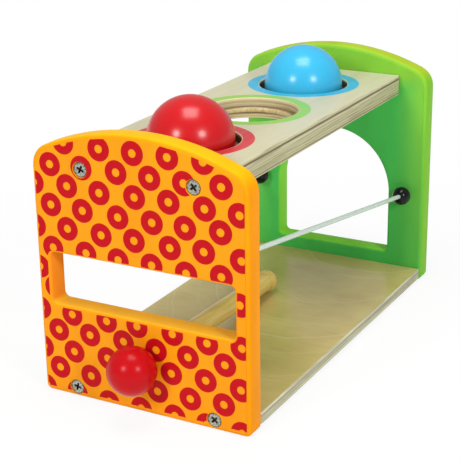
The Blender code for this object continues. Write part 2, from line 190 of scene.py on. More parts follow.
# Textures: features in a metre, octaves of finer detail, and how these are drawn out along X, Y and
# Z, where a factor below 1 makes them longer
PAINT_CLOUD = (60.0, 4.0, (1.0, 1.0, 0.25))
PAINT_PEEL = (900.0, 2.0)
PRINT_GRAIN = (1500.0, 2.0)
LACQUER_CLOUD = (45.0, 3.0)
LACQUER_WAVE = (260.0, 2.0)
GRAIN_WANDER = (22.0, 2.0, (1.0, 0.35, 1.0))
GRAIN_STREAKS = (700.0, 5.0)
GRAIN_FIGURE = (120.0, 3.0)
GRAIN_FLECKS = (1400.0, 2.0, (1.0, 0.12, 1.0))
VEIN_WAVER = (24.0, 3.0)
BASE_CLOUD = (55.0, 4.0, (0.6, 1.0, 1.0))
BASE_GRAIN = (800.0, 4.0, (0.10, 1.0, 1.0))
VENEER_PORES = (2200.0, 3.0, (1.0, 0.3, 1.0))
PLY_WAVER = (90.0, 3.0, (1.0, 1.0, 4.0))
PLY_LAYERS = (1300.0, 2.0, (0.02, 0.02, 1.0))
PLY_PORES = (2600.0, 3.0, (1.0, 1.0, 0.3))
BEECH_STREAKS = (900.0, 4.0, (1.0, 1.0, 0.05))
BEECH_FLECKS = (2200.0, 2.0, (1.0, 1.0, 0.22))
ELASTIC_CLOUD = (600.0, 4.0)
PLASTIC_SKIN = (1100.0, 3.0)
ZINC_PATCHES = (900.0, 4.0)
ZINC_SCRATCHES = (1600.0, 2.0, (3.0, 1.0, 1.0))

# Tones: between which values of its texture a finish turns to another colour, and how far it goes
PAINT_CLOUD_TONE = (0.42, 0.75)
LACQUER_TONE = (0.35, 0.8)
STREAK_TONE = (0.35, 0.72, 0.55)
FIGURE_TONE = (0.4, 0.7, 0.45)
FLECK_TONE = (0.68, 0.78, 0.35)
STAIN_TONE = (0.45, 0.75, 0.16)
BASE_CLOUD_TONE = (0.35, 0.7, 0.7)
BASE_GRAIN_TONE = (0.4, 0.7, 0.3)
LAYER_TONE = (0.5, 0.6, 0.55)
PORE_TONE = (0.55, 0.8, 0.35)
BEECH_TONE = (0.35, 0.72)
BEECH_FLECK_TONE = (0.66, 0.76, 0.5)
ELASTIC_TONE = (0.38, 0.68)
SKIN_TONE = (0.4, 0.7)
ZINC_TONE = (0.42, 0.6)
LACQUER_DEEP = 0.90
PLASTIC_DULL = 0.88

# How rough each finish is where it isn't given with the piece, and how much its texture adds
PAINT_ROUGH = 0.30
PAINT_UNEVEN = 0.14
LACQUER_UNEVEN = 0.06
VENEER_UNEVEN = 0.12
PLY_ROUGH = 0.5
PLY_UNEVEN = 0.2
BEECH_ROUGH = 0.24
BEECH_UNEVEN = 0.16
ELASTIC_ROUGH = 0.22
ELASTIC_UNEVEN = 0.25
PLASTIC_UNEVEN = 0.08
ZINC_ROUGH = 0.18
ZINC_UNEVEN = 0.25
FLOOR_ROUGH = 0.9

# How deep each finish's relief is
PEEL_RELIEF = 0.00004
WAVE_RELIEF = 0.00003
PORE_RELIEF = 0.00003
PLY_RELIEF = 0.00006
BEECH_RELIEF = 0.00005
ELASTIC_RELIEF = 0.00012
SKIN_RELIEF = 0.00003
SCRATCH_RELIEF = 0.00012

# Colours
ORANGE = (0.90, 0.33, 0.006)
# Painted light: lit copies of the orange paint for its sides, crown, opening jambs and sill
ORANGE_SIDE_LIT = (0.96, 0.33, 0.002)
ORANGE_CROWN_LIT = (0.90, 0.48, 0.004)
ORANGE_JAMB_LIT = (1.0, 0.32, 0.02)
ORANGE_SILL_LIT = (1.0, 0.55, 0.03)
PRINT_RED = (0.50, 0.004, 0.010)
CLOUD_SHADE = (0.90, 0.88, 0.90)
# Painted light and shade: the green face shaded under the plank and lit higher up, and lit copies
# for its sides, crown and arch
GREEN_SHADED = (0.075, 0.56, 0.10)
GREEN_LIT = (0.24, 0.58, 0.05)
GREEN_SIDE_LIT = (0.22, 0.58, 0.02)
GREEN_CROWN_LIT = (0.42, 0.58, 0.02)
GREEN_ARCH_LIT = (0.27, 0.80, 0.045)
BALL_RED = (0.59, 0.004, 0.008)
MALLET_RED = (0.51, 0.004, 0.008)
BALL_BLUE = (0.040, 0.47, 0.78)
STAIN_RED = (0.58, 0.020, 0.035)
STAIN_GREEN = (0.27, 0.56, 0.06)
STAIN_BLUE = (0.03, 0.42, 0.64)
VENEER = (0.63, 0.60, 0.41)
VENEER_DARK = (0.55, 0.52, 0.32)
GOLD_VENEER = (0.62, 0.51, 0.19)
GOLD_DARK = (0.52, 0.40, 0.13)
VEIN_PALE = (0.72, 0.66, 0.40)
PLY_WHITE = (0.66, 0.67, 0.50)
PLY_PALE = (0.62, 0.63, 0.45)
PLY_BAND = (0.44, 0.41, 0.29)
PLY_LIGHT = (0.61, 0.60, 0.37)
PLY_TAN = (0.45, 0.42, 0.23)
# Painted warm bounce light for the walls in the holes
PLY_BOUNCE_LIGHT = (0.80, 0.64, 0.34)
PLY_BROWN = (0.20, 0.15, 0.06)
PLY_FINE = (0.30, 0.25, 0.15)
BEECH = (0.76, 0.56, 0.15)
BEECH_DARK = (0.60, 0.42, 0.09)
AMBER = (0.48, 0.37, 0.15)
AMBER_PALE = (0.62, 0.52, 0.27)
# Painted shade on the elastic where it meets its groove
AMBER_SHADE_PAINTED = (0.16, 0.10, 0.04)
BLACK = (0.006, 0.007, 0.006)
ROD_WHITE = (0.60, 0.70, 0.62)
ZINC = (0.52, 0.53, 0.46)
ZINC_DULL = (0.20, 0.20, 0.17)
# Painted shade in a screw's recess and round its rim
RECESS_SHADE_PAINTED = (0.08, 0.08, 0.06)
FLOOR_WHITE = (0.90, 0.90, 0.90)

# Painted shade that the balls cast on the walls of their holes, between which shares of a wall's
# depth it sets in, and how strong it is, with what the plies' wavering adds. Last, the share of the
# painted warm bounce light on the walls.
BALL_SHADE = {"front": (0.095, 0.042, 0.020), "back": (0.085, 0.075, 0.055)}
SHADE_SETS_IN = (0.02, 0.14)
SHADE_SHARE = 0.55
SHADE_UNEVEN = 0.6
BOUNCE_SHARE = 0.45

# Plies from a board's top face down: colours at shares of its thickness, which run together
PLANK_PLIES = (
    (0.0, PLY_LIGHT),
    (0.11, VENEER),
    (0.14, PLY_BROWN),
    (0.21, PLY_BROWN),
    (0.25, PLY_PALE),
    (0.36, PLY_LIGHT),
    (0.39, PLY_TAN),
    (0.44, PLY_LIGHT),
    (0.50, PLY_TAN),
    (0.54, PLY_LIGHT),
    (0.62, PLY_TAN),
    (0.70, PLY_LIGHT),
    (0.76, PLY_TAN),
    (0.84, PLY_LIGHT),
    (0.88, PLY_BROWN),
    (0.93, PLY_TAN),
    (0.96, VENEER),
)
BASE_PLIES = (
    (0.0, PLY_WHITE),
    (0.15, PLY_WHITE),
    (0.19, PLY_BAND),
    (0.42, PLY_BAND),
    (0.46, PLY_PALE),
    (0.57, PLY_PALE),
    (0.60, PLY_TAN),
    (0.65, PLY_TAN),
    (0.69, PLY_PALE),
    (0.84, PLY_PALE),
    (0.88, PLY_BAND),
    (0.94, PLY_PALE),
)

# Camera and lamps. A lamp has its turn from the camera's and its height in degrees, its distance
# and its side, and the light that it casts on a white surface that faces it.
CAMERA_PLACE = (0.323471, -0.605758, 0.309515)
CAMERA_TURN = 28.73
CAMERA_DIP = 19.782
CAMERA_ROLL = -0.829
CAMERA_LENS = 103.6
AIM = (0.0, 0.0, 0.07)
LAMPS = {
    "overhead_softbox": (0.0, 84.0, 1.1, 0.54, 0.60),
    "left_softbox": (-38.0, 27.0, 1.3, 0.25, 0.36),
    "right_softbox": (32.0, 27.0, 1.3, 0.25, 0.36),
}

# The room's strength as light and in reflections. The camera sees the room as plain white, and the
# floor as this share of white near the bench, which rises to all of it at FLOOR_FAR.
ROOM_LIGHT = 0.30
ROOM_PALE = 0.50
FLOOR_SHARE = 0.88
FLOOR_NEAR = 0.16
FLOOR_FAR = 0.34
FLOOR_RADIUS = 40.0
FLOOR_DROP = 0.0001

# A Mix node's sockets for colours, which share their names with others
MIX_COLOURS = (6, 7)
MIX_RESULT = 2


# Shader maths

class Tap:
    """A socket's output, on which arithmetic adds Math nodes."""

    def __init__(self, finish, socket):
        self.finish = finish
        self.socket = socket

    def math(self, operation, *values):
        return self.finish.node("ShaderNodeMath", {"operation": operation}, dict(enumerate(values)))

    def __add__(self, other):
        return self.math("ADD", self, other)

    def __sub__(self, other):
        return self.math("SUBTRACT", self, other)

    def __neg__(self):
        return self.math("MULTIPLY", self, -1.0)

    def __rsub__(self, other):
        return self.math("SUBTRACT", other, self)

    def __mul__(self, other):
        return self.math("MULTIPLY", self, other)

    def __truediv__(self, other):
        return self.math("DIVIDE", self, other)

    def __pow__(self, other):
        return self.math("POWER", self, other)

    def __abs__(self):
        return self.math("ABSOLUTE", self)

    __radd__ = __add__
    __rmul__ = __mul__

    def floor(self):
        return self.math("FLOOR", self)

    def larger(self, other):
        return self.math("MAXIMUM", self, other)

    def wrap(self, low, high):
        """Returns the value moved by whole turns of the range until it lies in it."""
        return self.math("WRAP", self, high, low)

    def nearest(self, pitch):
        """Returns the distance from the nearest whole number of pitches."""
        return self.wrap(-pitch / 2, pitch / 2)

    def rise(self, low, high, most=1.0):
        """Returns 0 up to low, most from high on, and a straight run between."""
        limits = {"Value": self, "From Min": low, "From Max": high, "To Max": most}
        return self.finish.node("ShaderNodeMapRange", {}, limits)


class Finish:
    """A material, or the world, made of nodes."""

    def __init__(self, block, **constants):
        self.block = block
        block.use_nodes = True
        self.tree = block.node_tree
        self.shader = self.tree.nodes.get("Principled BSDF")
        for socket, value in constants.items():
            self.shader.inputs[socket.replace("_", " ")].default_value = value

    def feed(self, node, inputs):
        for key, value in inputs.items():
            if isinstance(value, Tap):
                self.tree.links.new(value.socket, node.inputs[key])
            else:
                node.inputs[key].default_value = value

    def node(self, kind, settings, inputs, output=0):
        """Adds a node with its settings first, then its inputs, and returns one of its outputs.

        A colour ramp's setting is stops, its colours.
        """
        node = self.tree.nodes.new(kind)
        for key, value in settings.items():
            if key == "stops":
                set_stops(node.color_ramp.elements, value)
            else:
                setattr(node, key, value)
        self.feed(node, inputs)
        return Tap(self, node.outputs[output])

    def dress(self, colour, roughness, relief, depth):
        """Feeds the main shader, with a relief of this depth, and returns the material."""
        bump = self.node("ShaderNodeBump", {}, {"Height": relief, "Distance": depth})
        self.feed(self.shader, {"Base Color": colour, "Roughness": roughness, "Normal": bump})
        return self.block

    def place(self):
        return self.node("ShaderNodeTexCoord", {}, {}, "Object")

    def axes(self, vector):
        """Returns a vector's three parts."""
        split = self.node("ShaderNodeSeparateXYZ", {}, {"Vector": vector}).socket.node
        return [Tap(self, socket) for socket in split.outputs]

    def noise(self, place, scale, detail, drawn=None):
        """Returns a texture with scale features in a metre, drawn out by a factor for each axis.

        Most of its values lie between 0.3 and 0.7, so a finish takes its tones from a rise there.
        """
        if drawn:
            settings = {"operation": "MULTIPLY"}
            place = self.node("ShaderNodeVectorMath", settings, {0: place, 1: drawn})
        inputs = {"Vector": place, "Scale": scale, "Detail": detail}
        return self.node("ShaderNodeTexNoise", {}, inputs)

    def blend(self, factor, first, second, kind="MIX"):
        """Mixes two colours, each a tuple or a tap."""
        inputs = {0: factor}
        for socket, colour in zip(MIX_COLOURS, (first, second)):
            inputs[socket] = colour if isinstance(colour, Tap) else (*colour, 1.0)
        settings = {"data_type": "RGBA", "blend_type": kind}
        return self.node("ShaderNodeMix", settings, inputs, MIX_RESULT)


def set_stops(elements, stops):
    """Gives a colour ramp its (place, colour) stops."""
    while len(elements) > 1:
        elements.remove(elements[-1])
    for i, (position, colour) in enumerate(stops):
        element = elements.new(position) if i else elements[0]
        element.position = position
        element.color = (*colour, 1.0)


def surface(name, **constants):
    return Finish(bpy.data.materials.new(name), **constants)


def distance(x, y):
    """Returns how far a point lies from the axis."""
    return (x * x + y * y) ** 0.5


def dimmed(colour, share):
    return tuple(share * part for part in colour)


# Finishes

def paint(name, face_colours, edge_colours, gloss, printed=False):
    """A sprayed satin paint, a little uneven, with a fine orange peel.

    Its colour carries painted light and shade: it is lighter towards the crown and on the edges,
    and has painted shade on the back panel's inner face where the plank shelters it from the light.
    face_colours are the faces' painted shaded and lit colours, and edge_colours the painted lit
    colours of the sides, the crown, and the opening's jambs and sill.
    """
    shaded_colour, lit_colour = face_colours
    side_colour, crown_colour, jamb_colour, sill_colour = edge_colours
    finish = surface(name, Specular_IOR_Level=gloss)
    place = finish.place()
    across, _, height = finish.axes(place)
    _, along, up = finish.axes(finish.node("ShaderNodeNewGeometry", {}, {}, "Normal"))
    # Painted light and shade: the faces lighten upwards, the back panel's inner face is shaded
    # where the plank shelters it, and the edges take lit copies of the colour
    lit_by_height = height.rise(*PAINT_LIGHTENS)
    beside = abs(across).rise(*BESIDE_PLANK) * (FOOT_SHARE + (1.0 - FOOT_SHARE) * lit_by_height)
    open_air = beside.larger(height.rise(*ABOVE_PLANK))
    inner = (-along).rise(*FLAT_FACE)
    face = finish.blend(lit_by_height + (open_air - lit_by_height) * inner, shaded_colour, lit_colour)
    ledge = up.rise(*LEDGE)
    crown = ledge * (0.5 + 0.5 * height.rise(*LEDGE_LIGHTENS))
    edge = finish.blend(crown, side_colour, crown_colour)
    inside = (1.0 - abs(across).rise(*OPENING_SIDE)) * (1.0 - height.rise(*OPENING_TOP))
    edge = finish.blend(inside, edge, finish.blend(ledge, jamb_colour, sill_colour))
    base = finish.blend(abs(along).rise(*FLAT_FACE), edge, face)
    cloud = finish.noise(place, *PAINT_CLOUD)
    clouded = finish.blend(1.0, base, CLOUD_SHADE, "MULTIPLY")
    base = finish.blend(cloud.rise(*PAINT_CLOUD_TONE), base, clouded)
    if printed:
        base = finish.blend(ring_print(finish, place), base, PRINT_RED)
    peel = finish.noise(place, *PAINT_PEEL)
    return finish.dress(base, PAINT_ROUGH + PAINT_UNEVEN * cloud, peel, PEEL_RELIEF)


def ring_shift(finish, column, line, row):
    """Draws how far a ring is off its place, across and up, for its column, line and row.

    Each shift is a number from 0 to 1, and 0.5 leaves the ring in its place.
    """
    cell = {"X": (column + 0.5).floor(), "Y": (line + 0.5).floor(), "Z": 2 * SHIFT_DRAW + row}
    ring = finish.node("ShaderNodeCombineXYZ", {}, cell)
    settings = {"noise_dimensions": "3D"}
    return finish.axes(finish.node("ShaderNodeTexWhiteNoise", settings, {"Vector": ring}, "Color"))


def ring_print(finish, place):
    """Returns 1 on the printed rings and 0 between them."""
    x, _, height = finish.axes(place)
    z = height - PRINT_TILT * x
    fray = (finish.noise(place, *PRINT_GRAIN) - 0.5) * PRINT_FRAY
    masks = []
    above_last, above_sill, in_slot = (
        z.rise(edge, edge + PRINT_SOFT) for edge in (LAST_ROW_TOP, *SLOT_ROW)
    )
    dropped = z + (1.0 - above_last + above_sill - in_slot) * ROW_DROP
    for row, level in enumerate((dropped, z)):
        column = (x - (PRINT_START[0] + row * PRINT_COLUMN / 2)) / PRINT_COLUMN
        line = (level - (PRINT_START[1] + row * PRINT_ROW)) / (2 * PRINT_ROW)
        aside, over, _ = ring_shift(finish, column, line, row)
        across = column.nearest(1.0) * PRINT_COLUMN - (aside - 0.5) * SHIFT_SPAN
        up = line.nearest(1.0) * 2 * PRINT_ROW - (over - 0.5) * SHIFT_SPAN
        radius = distance(across, up) + fray
        inside = radius.rise(PRINT_INNER - PRINT_SOFT, PRINT_INNER)
        masks.append(inside * (1.0 - radius.rise(PRINT_OUTER, PRINT_OUTER + PRINT_SOFT)))
    side, high = (tap.rise(edge, edge + PRINT_SOFT) for tap, edge in zip((x, z), PRINT_SHOULDER))
    masks[0] = masks[0] * (1.0 - side * high)
    masks[1] = masks[1] * (1.0 - z.rise(PRINT_CROWN, PRINT_CROWN + PRINT_SOFT))
    return (masks[0] + masks[1]) * z.rise(PRINT_FOOT, PRINT_FOOT + PRINT_SOFT)


def lacquer(name, colour, gloss, rough):
    """A thick lacquer on turned wood."""
    finish = surface(name, Specular_IOR_Level=gloss)
    place = finish.place()
    cloud = finish.noise(place, *LACQUER_CLOUD)
    base = finish.blend(cloud.rise(*LACQUER_TONE), colour, dimmed(colour, LACQUER_DEEP))
    wave = finish.noise(place, *LACQUER_WAVE)
    return finish.dress(base, rough + LACQUER_UNEVEN * cloud, wave, WAVE_RELIEF)


def plank_veneer(finish, place, stains):
    """Returns the plank's pale veneer with its stained rings.

    stains lists the place along Y of each stained ring, with its colour.
    """
    x, y, z = finish.axes(place)
    wander = finish.noise(place, *GRAIN_WANDER)
    parts = {"X": x + (wander - 0.5) * GRAIN_SWAY, "Y": y * GRAIN_DRAWN, "Z": z}
    bent = finish.node("ShaderNodeCombineXYZ", {}, parts)
    streaks = finish.noise(bent, *GRAIN_STREAKS)
    figure = finish.noise(bent, *GRAIN_FIGURE)
    flecks = finish.noise(place, *GRAIN_FLECKS)
    tone = streaks.rise(*STREAK_TONE) + figure.rise(*FIGURE_TONE)
    veneer = finish.blend(tone, VENEER, VENEER_DARK)
    veneer = finish.blend(flecks.rise(*FLECK_TONE), veneer, PLY_TAN)
    for centre, colour in stains:
        radius = distance(x, y - centre)
        ring = 1.0 - radius.rise(STAIN_RADIUS, STAIN_RADIUS + PRINT_SOFT)
        stain = finish.blend(streaks.rise(*STAIN_TONE), colour, VENEER)
        veneer = finish.blend(ring, veneer, stain)
    return veneer


def base_veneer(finish, place):
    """Returns the base board's golden veneer, clouded, with pale U-shaped veins."""
    x, y, _ = finish.axes(place)
    waver = finish.noise(place, *VEIN_WAVER) - 0.5
    aside = x - VEIN_START[0]
    level = y - VEIN_START[1] - VEIN_BEND * aside * aside + waver * VEIN_SWAY
    vein = 1.0 - abs(level.nearest(VEIN_PITCH)).rise(VEIN_HALF, VEIN_FADE)
    faint = 1.0 - abs((level + FAINT_START).nearest(FAINT_PITCH)).rise(VEIN_HALF, FAINT_FADE)
    cloud = finish.noise(place, *BASE_CLOUD)
    grain = finish.noise(place, *BASE_GRAIN)
    tone = cloud.rise(*BASE_CLOUD_TONE) + grain.rise(*BASE_GRAIN_TONE)
    veneer = finish.blend(tone, GOLD_VENEER, GOLD_DARK)
    return finish.blend(vein * VEIN_SHARE + faint * FAINT_SHARE, veneer, VEIN_PALE)


def lacquered_veneer(name, gloss, rough, stains=None):
    """The clear-lacquered veneer of the plank, which has stained rings, or of the base board."""
    finish = surface(name, Specular_IOR_Level=gloss)
    place = finish.place()
    veneer = plank_veneer(finish, place, stains) if stains else base_veneer(finish, place)
    pores = finish.noise(place, *VENEER_PORES)
    return finish.dress(veneer, rough + VENEER_UNEVEN * pores, pores, PORE_RELIEF)


def bare_plies(name, top, bottom, stops, shaded_holes=()):
    """The plies of a board between these heights, bare on its edges and in its holes.

    The last argument lists the place along Y of each hole whose wall gets painted shade from its
    ball, with the shade's colour. Walls within the holes' width across the board also get a painted
    warm bounce light.
    """
    finish = surface(name, Specular_IOR_Level=0.12)
    place = finish.place()
    x, y, z = finish.axes(place)
    waver = finish.noise(place, *PLY_WAVER)
    depth = ((top - z) + (waver - 0.5) * PLY_SWAY) / (top - bottom)
    plies = finish.node("ShaderNodeValToRGB", {"stops": stops}, {"Fac": depth})
    layers = finish.noise(place, *PLY_LAYERS)
    plies = finish.blend(layers.rise(*LAYER_TONE), plies, PLY_FINE)
    pores = finish.noise(place, *PLY_PORES)
    plies = finish.blend(pores.rise(*PORE_TONE), plies, PLY_BROWN)
    beyond_hole = BALL_HOLE_RADIUS + BOARD_EASE, STAIN_RADIUS
    # Painted warm bounce light on the walls within the holes' width
    plies = finish.blend(BOUNCE_SHARE * (1.0 - abs(x).rise(*beyond_hole)), plies, PLY_BOUNCE_LIGHT)
    # Painted shade that each ball casts on its hole's wall
    for centre, colour in shaded_holes:
        inside = 1.0 - distance(x, y - centre).rise(*beyond_hole)
        deep = depth.rise(*SHADE_SETS_IN) * (SHADE_SHARE + SHADE_UNEVEN * waver)
        plies = finish.blend(inside * deep, plies, colour)
    return finish.dress(plies, PLY_ROUGH + PLY_UNEVEN * pores, pores, PLY_RELIEF)


def beech(name):
    """Plain turned beech with its grain along the piece's own Z axis."""
    finish = surface(name, Specular_IOR_Level=0.45)
    place = finish.place()
    streaks = finish.noise(place, *BEECH_STREAKS)
    flecks = finish.noise(place, *BEECH_FLECKS)
    base = finish.blend(streaks.rise(*BEECH_TONE), BEECH, BEECH_DARK)
    base = finish.blend(flecks.rise(*BEECH_FLECK_TONE), base, BEECH_DARK)
    return finish.dress(base, BEECH_ROUGH + BEECH_UNEVEN * streaks, streaks, BEECH_RELIEF)


def elastic(name):
    """A cloudy amber elastic, with painted shade where it meets the walls of its groove."""
    finish = surface(name, Specular_IOR_Level=0.5)
    place = finish.place()
    _, _, height = finish.axes(place)
    cloud = finish.noise(place, *ELASTIC_CLOUD)
    base = finish.blend(cloud.rise(*ELASTIC_TONE), AMBER, AMBER_PALE)
    # Painted shade where the ring meets the groove's walls
    base = finish.blend(abs(height).rise(*RING_SHADE_BAND), base, AMBER_SHADE_PAINTED)
    return finish.dress(base, ELASTIC_ROUGH + ELASTIC_UNEVEN * cloud, cloud, ELASTIC_RELIEF)


def moulded(name, colour, gloss, rough):
    """Moulded plastic with a faint skin."""
    finish = surface(name, Specular_IOR_Level=gloss)
    skin = finish.noise(finish.place(), *PLASTIC_SKIN)
    base = finish.blend(skin.rise(*SKIN_TONE), colour, dimmed(colour, PLASTIC_DULL))
    return finish.dress(base, rough + PLASTIC_UNEVEN * skin, skin, SKIN_RELIEF)


def zinc(name):
    """Zinc plate with fine scratches and duller patches, and painted shade in a screw's recess and
    rim.
    """
    finish = surface(name, Metallic=1.0)
    place = finish.place()
    across, up, depth = finish.axes(place)
    patches = finish.noise(place, *ZINC_PATCHES)
    scratches = finish.noise(place, *ZINC_SCRATCHES)
    base = finish.blend(patches.rise(*ZINC_TONE), ZINC, ZINC_DULL)
    # Painted shade in the recess and round the rim
    rim = distance(across, up).rise(SCREW_HEAD_RADIUS - SCREW_RIM, SCREW_HEAD_RADIUS - SINK_LIP)
    base = finish.blend(depth.rise(SINK_LIP, RECESS_DEPTH / 2).larger(rim), base, RECESS_SHADE_PAINTED)
    return finish.dress(base, ZINC_ROUGH + ZINC_UNEVEN * patches, scratches, SCRATCH_RELIEF)


# Outlines and profiles

def arc(centre, radius, start, end, steps):
    """Returns points on an arc, ends included, with its angles in radians."""
    angles = [start + (end - start) * i / steps for i in range(steps + 1)]
    return [(centre[0] + radius * math.cos(a), centre[1] + radius * math.sin(a)) for a in angles]


def panel_outline(half, height):
    """Returns a panel's outline as a function of how far it is drawn in."""
    crown = height - CROWN_RADIUS
    side = half - SHOULDER_RADIUS
    reach = CROWN_RADIUS - SHOULDER_RADIUS
    shoulder = crown + math.sqrt(reach**2 - side**2)
    turn = math.asin(side / reach)
    foot = half - FOOT_RADIUS

    def outline(inset):
        low, high = FOOT_RADIUS - inset, SHOULDER_RADIUS - inset
        return (
            arc((foot, FOOT_RADIUS), low, -QUARTER, 0, CORNER_STEPS)
            + arc((side, shoulder), high, 0, QUARTER - turn, CORNER_STEPS)[:-1]
            + arc((0, crown), CROWN_RADIUS - inset, QUARTER - turn, QUARTER + turn, CROWN_STEPS)
            + arc((-side, shoulder), high, QUARTER + turn, HALF_TURN, CORNER_STEPS)[1:]
            + arc((-foot, FOOT_RADIUS), low, HALF_TURN, 3 * QUARTER, CORNER_STEPS)
        )

    return outline


def block_outline(low, high, corner):
    """Returns a round-cornered rectangle as a function of its growth."""
    right, left = high[0] - corner, low[0] + corner
    top, foot = high[1] - corner, low[1] + corner
    centres = ((right, foot), (right, top), (left, top), (left, foot))

    def outline(grow):
        points = []
        for i, centre in enumerate(centres):
            points += arc(centre, corner + grow, (i - 1) * QUARTER, i * QUARTER, CORNER_STEPS)
        return points

    return outline


def arch_outline(grow):
    """Returns the back panel's opening: a flat sill, upright jambs and a half round top."""
    side = ARCH_RADIUS - ARCH_CORNER
    low = ARCH_SILL + ARCH_CORNER
    corner = ARCH_CORNER + grow
    return (
        arc((side, low), corner, -QUARTER, 0, CORNER_STEPS)
        + arc((0, ARCH_SPRING), ARCH_RADIUS + grow, 0, HALF_TURN, CROWN_STEPS)
        + arc((-side, low), corner, HALF_TURN, 3 * QUARTER, CORNER_STEPS)
    )


def circle_outline(centre, radius, steps):
    """Returns a circle as a function of its growth."""
    return lambda grow: arc(centre, radius + grow, 0, FULL_TURN, steps)[:-1]


def rounded_edge(radius, thickness, steps, lip=0.0):
    """Returns (offset, depth) pairs over a board's edge, with a flat rim on each face.

    A lip is the small step that the cutter leaves where the round begins.
    """
    near = [(radius + FLAT_RIM, 0.0)] + ([(radius, 0.0)] if lip else [])
    for i in range(steps + 1):
        turn = QUARTER * i / steps
        near.append((radius * (1 - math.sin(turn)), lip + radius * (1 - math.cos(turn))))
    return near + [(offset, thickness - depth) for offset, depth in reversed(near)]


def grooved_wall(ring_radius, ring_depth, thickness):
    """Returns a ball hole's wall, eased at both ends and grooved for its elastic ring."""
    setback = BALL_HOLE_RADIUS - ring_radius
    start = math.acos(setback / GROOVE_SECTION_RADIUS)
    groove = []
    for i in range(SECTION_STEPS + 1):
        turn = start * (1 - 2 * i / SECTION_STEPS)
        offset = GROOVE_SECTION_RADIUS * math.cos(turn) - setback
        groove.append((offset, ring_depth - GROOVE_SECTION_RADIUS * math.sin(turn)))
    ends = rounded_edge(BOARD_EASE, thickness, EASE_STEPS)
    return ends[: len(ends) // 2] + groove + ends[len(ends) // 2 :]


def sink_profile(thickness):
    """Returns the (radius, depth) pairs of a countersink with its softened mouth."""
    mouth = SCREW_HEAD_RADIUS + SCREW_PLAY
    shank = SCREW_SHANK_RADIUS + SCREW_PLAY
    rim = SCREW_RIM + SCREW_PLAY
    return [
        (0.0, -CUT_BEYOND),
        (mouth + SINK_LIP, -CUT_BEYOND),
        (mouth + SINK_LIP, 0.0),
        (mouth, SINK_LIP),
        (mouth, rim),
        (shank, rim + mouth - shank),
        (shank, thickness + CUT_BEYOND),
        (0.0, thickness + CUT_BEYOND),
    ]


def ball_profile(radius, steps, bore=0.0):
    """Returns a ball's (radius, height) pairs from its lower pole to its top or its bore."""
    top = math.acos(bore / radius)
    angles = [-QUARTER + (QUARTER + top) * i / steps for i in range(1, steps)]
    points = [(radius * math.cos(a), radius * math.sin(a)) for a in angles]
    return [(0.0, -radius)] + points + [(bore, radius * math.sin(top))]


# Mesh code

def add_wall(bm, outline, profile, lay):
    """Adds an outline's wall down its profile. Returns the edges of its first and last loops."""
    loops = []
    for offset, depth in profile:
        loops.append([bm.verts.new(lay(u, v, depth)) for u, v in outline(offset)])
    count = len(loops[0])
    for near, far in zip(loops, loops[1:]):
        for i in range(count):
            j = (i + 1) % count
            bm.faces.new((near[i], near[j], far[j], far[i]))
    return [
        [bm.edges.get((loop[i], loop[(i + 1) % count])) for i in range(count)]
        for loop in (loops[0], loops[-1])
    ]


def fill(bm, edges):
    """Fills the flat face between loops of edges."""
    bmesh.ops.triangle_fill(bm, edges=edges, use_beauty=True)


def finished(name, bm, *finishes):
    """Makes an object of the mesh, with its faces out and its round stretches smooth."""
    bmesh.ops.recalc_face_normals(bm, faces=bm.faces)
    mesh = bpy.data.meshes.new(name)
    bm.to_mesh(mesh)
    bm.free()
    mesh.shade_smooth()
    mesh.set_sharp_from_angle(angle=SHARP)
    for finish in finishes:
        mesh.materials.append(finish)
    piece = bpy.data.objects.new(name, mesh)
    bpy.context.collection.objects.link(piece)
    return piece


def face_level(bm):
    """Gives a level board's top and bottom the second finish."""
    bm.normal_update()
    for face in bm.faces:
        if abs(face.normal.dot(UP)) > FLAT_ENOUGH:
            face.material_index = SECOND_FINISH


def board_mesh(walls, lay):
    """Returns a board made of its (outline, profile) walls, with both its faces filled.

    lay turns a point of an outline and a depth into a place.
    """
    bm = bmesh.new()
    near, far = [], []
    for outline, profile in walls:
        first, last = add_wall(bm, outline, profile, lay)
        near += first
        far += last
    fill(bm, near)
    fill(bm, far)
    return bm


def turned_mesh(profile, steps, closed=False):
    """Returns a mesh of (radius, height) pairs turned about its Z axis."""
    bm = bmesh.new()
    rings = []
    for radius, height in profile:
        turns = [FULL_TURN * i / steps for i in range(steps)] if radius else [0.0]
        ring = [(radius * math.cos(a), radius * math.sin(a), height) for a in turns]
        rings.append([bm.verts.new(point) for point in ring])
    pairs = list(zip(rings, rings[1:])) + ([(rings[-1], rings[0])] if closed else [])
    for low, high in pairs:
        for i in range(steps):
            j = (i + 1) % steps
            below = [low[i % len(low)], low[j % len(low)]]
            above = [high[j % len(high)], high[i % len(high)]]
            bm.faces.new(list(dict.fromkeys(below + above)))
    return bm


def turned(name, profile, steps, finish, closed=False):
    """Makes a piece of (radius, height) pairs turned about its Z axis."""
    return finished(name, turned_mesh(profile, steps, closed), finish)


def sink_screws(panel, nodes, face, inward, thickness):
    """Cuts a countersink for each screw into a panel from its outer face at y = face."""
    for node in nodes:
        centre = middle(node)
        bm = turned_mesh(sink_profile(thickness), SMALL_STEPS)
        place = pointed(Vector((centre.x, face, centre.z)), Vector((0, inward, 0)))
        bmesh.ops.transform(bm, matrix=place, verts=bm.verts)
        cutter = finished("countersink", bm)
        cut = panel.modifiers.new("countersink", "BOOLEAN")
        cut.operation = "DIFFERENCE"
        cut.object = cutter
        shape = panel.evaluated_get(bpy.context.evaluated_depsgraph_get())
        mesh = bpy.data.meshes.new_from_object(shape)
        panel.modifiers.clear()
        panel.data = mesh
        bpy.data.objects.remove(cutter)
    panel.data.shade_smooth()
    panel.data.set_sharp_from_angle(angle=SHARP)


# Places from the frame

def corners(node):
    """Returns a node's lowest and highest corners."""
    low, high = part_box(node)
    return Vector(low), Vector(high)


def middle(node):
    low, high = corners(node)
    return (low + high) / 2


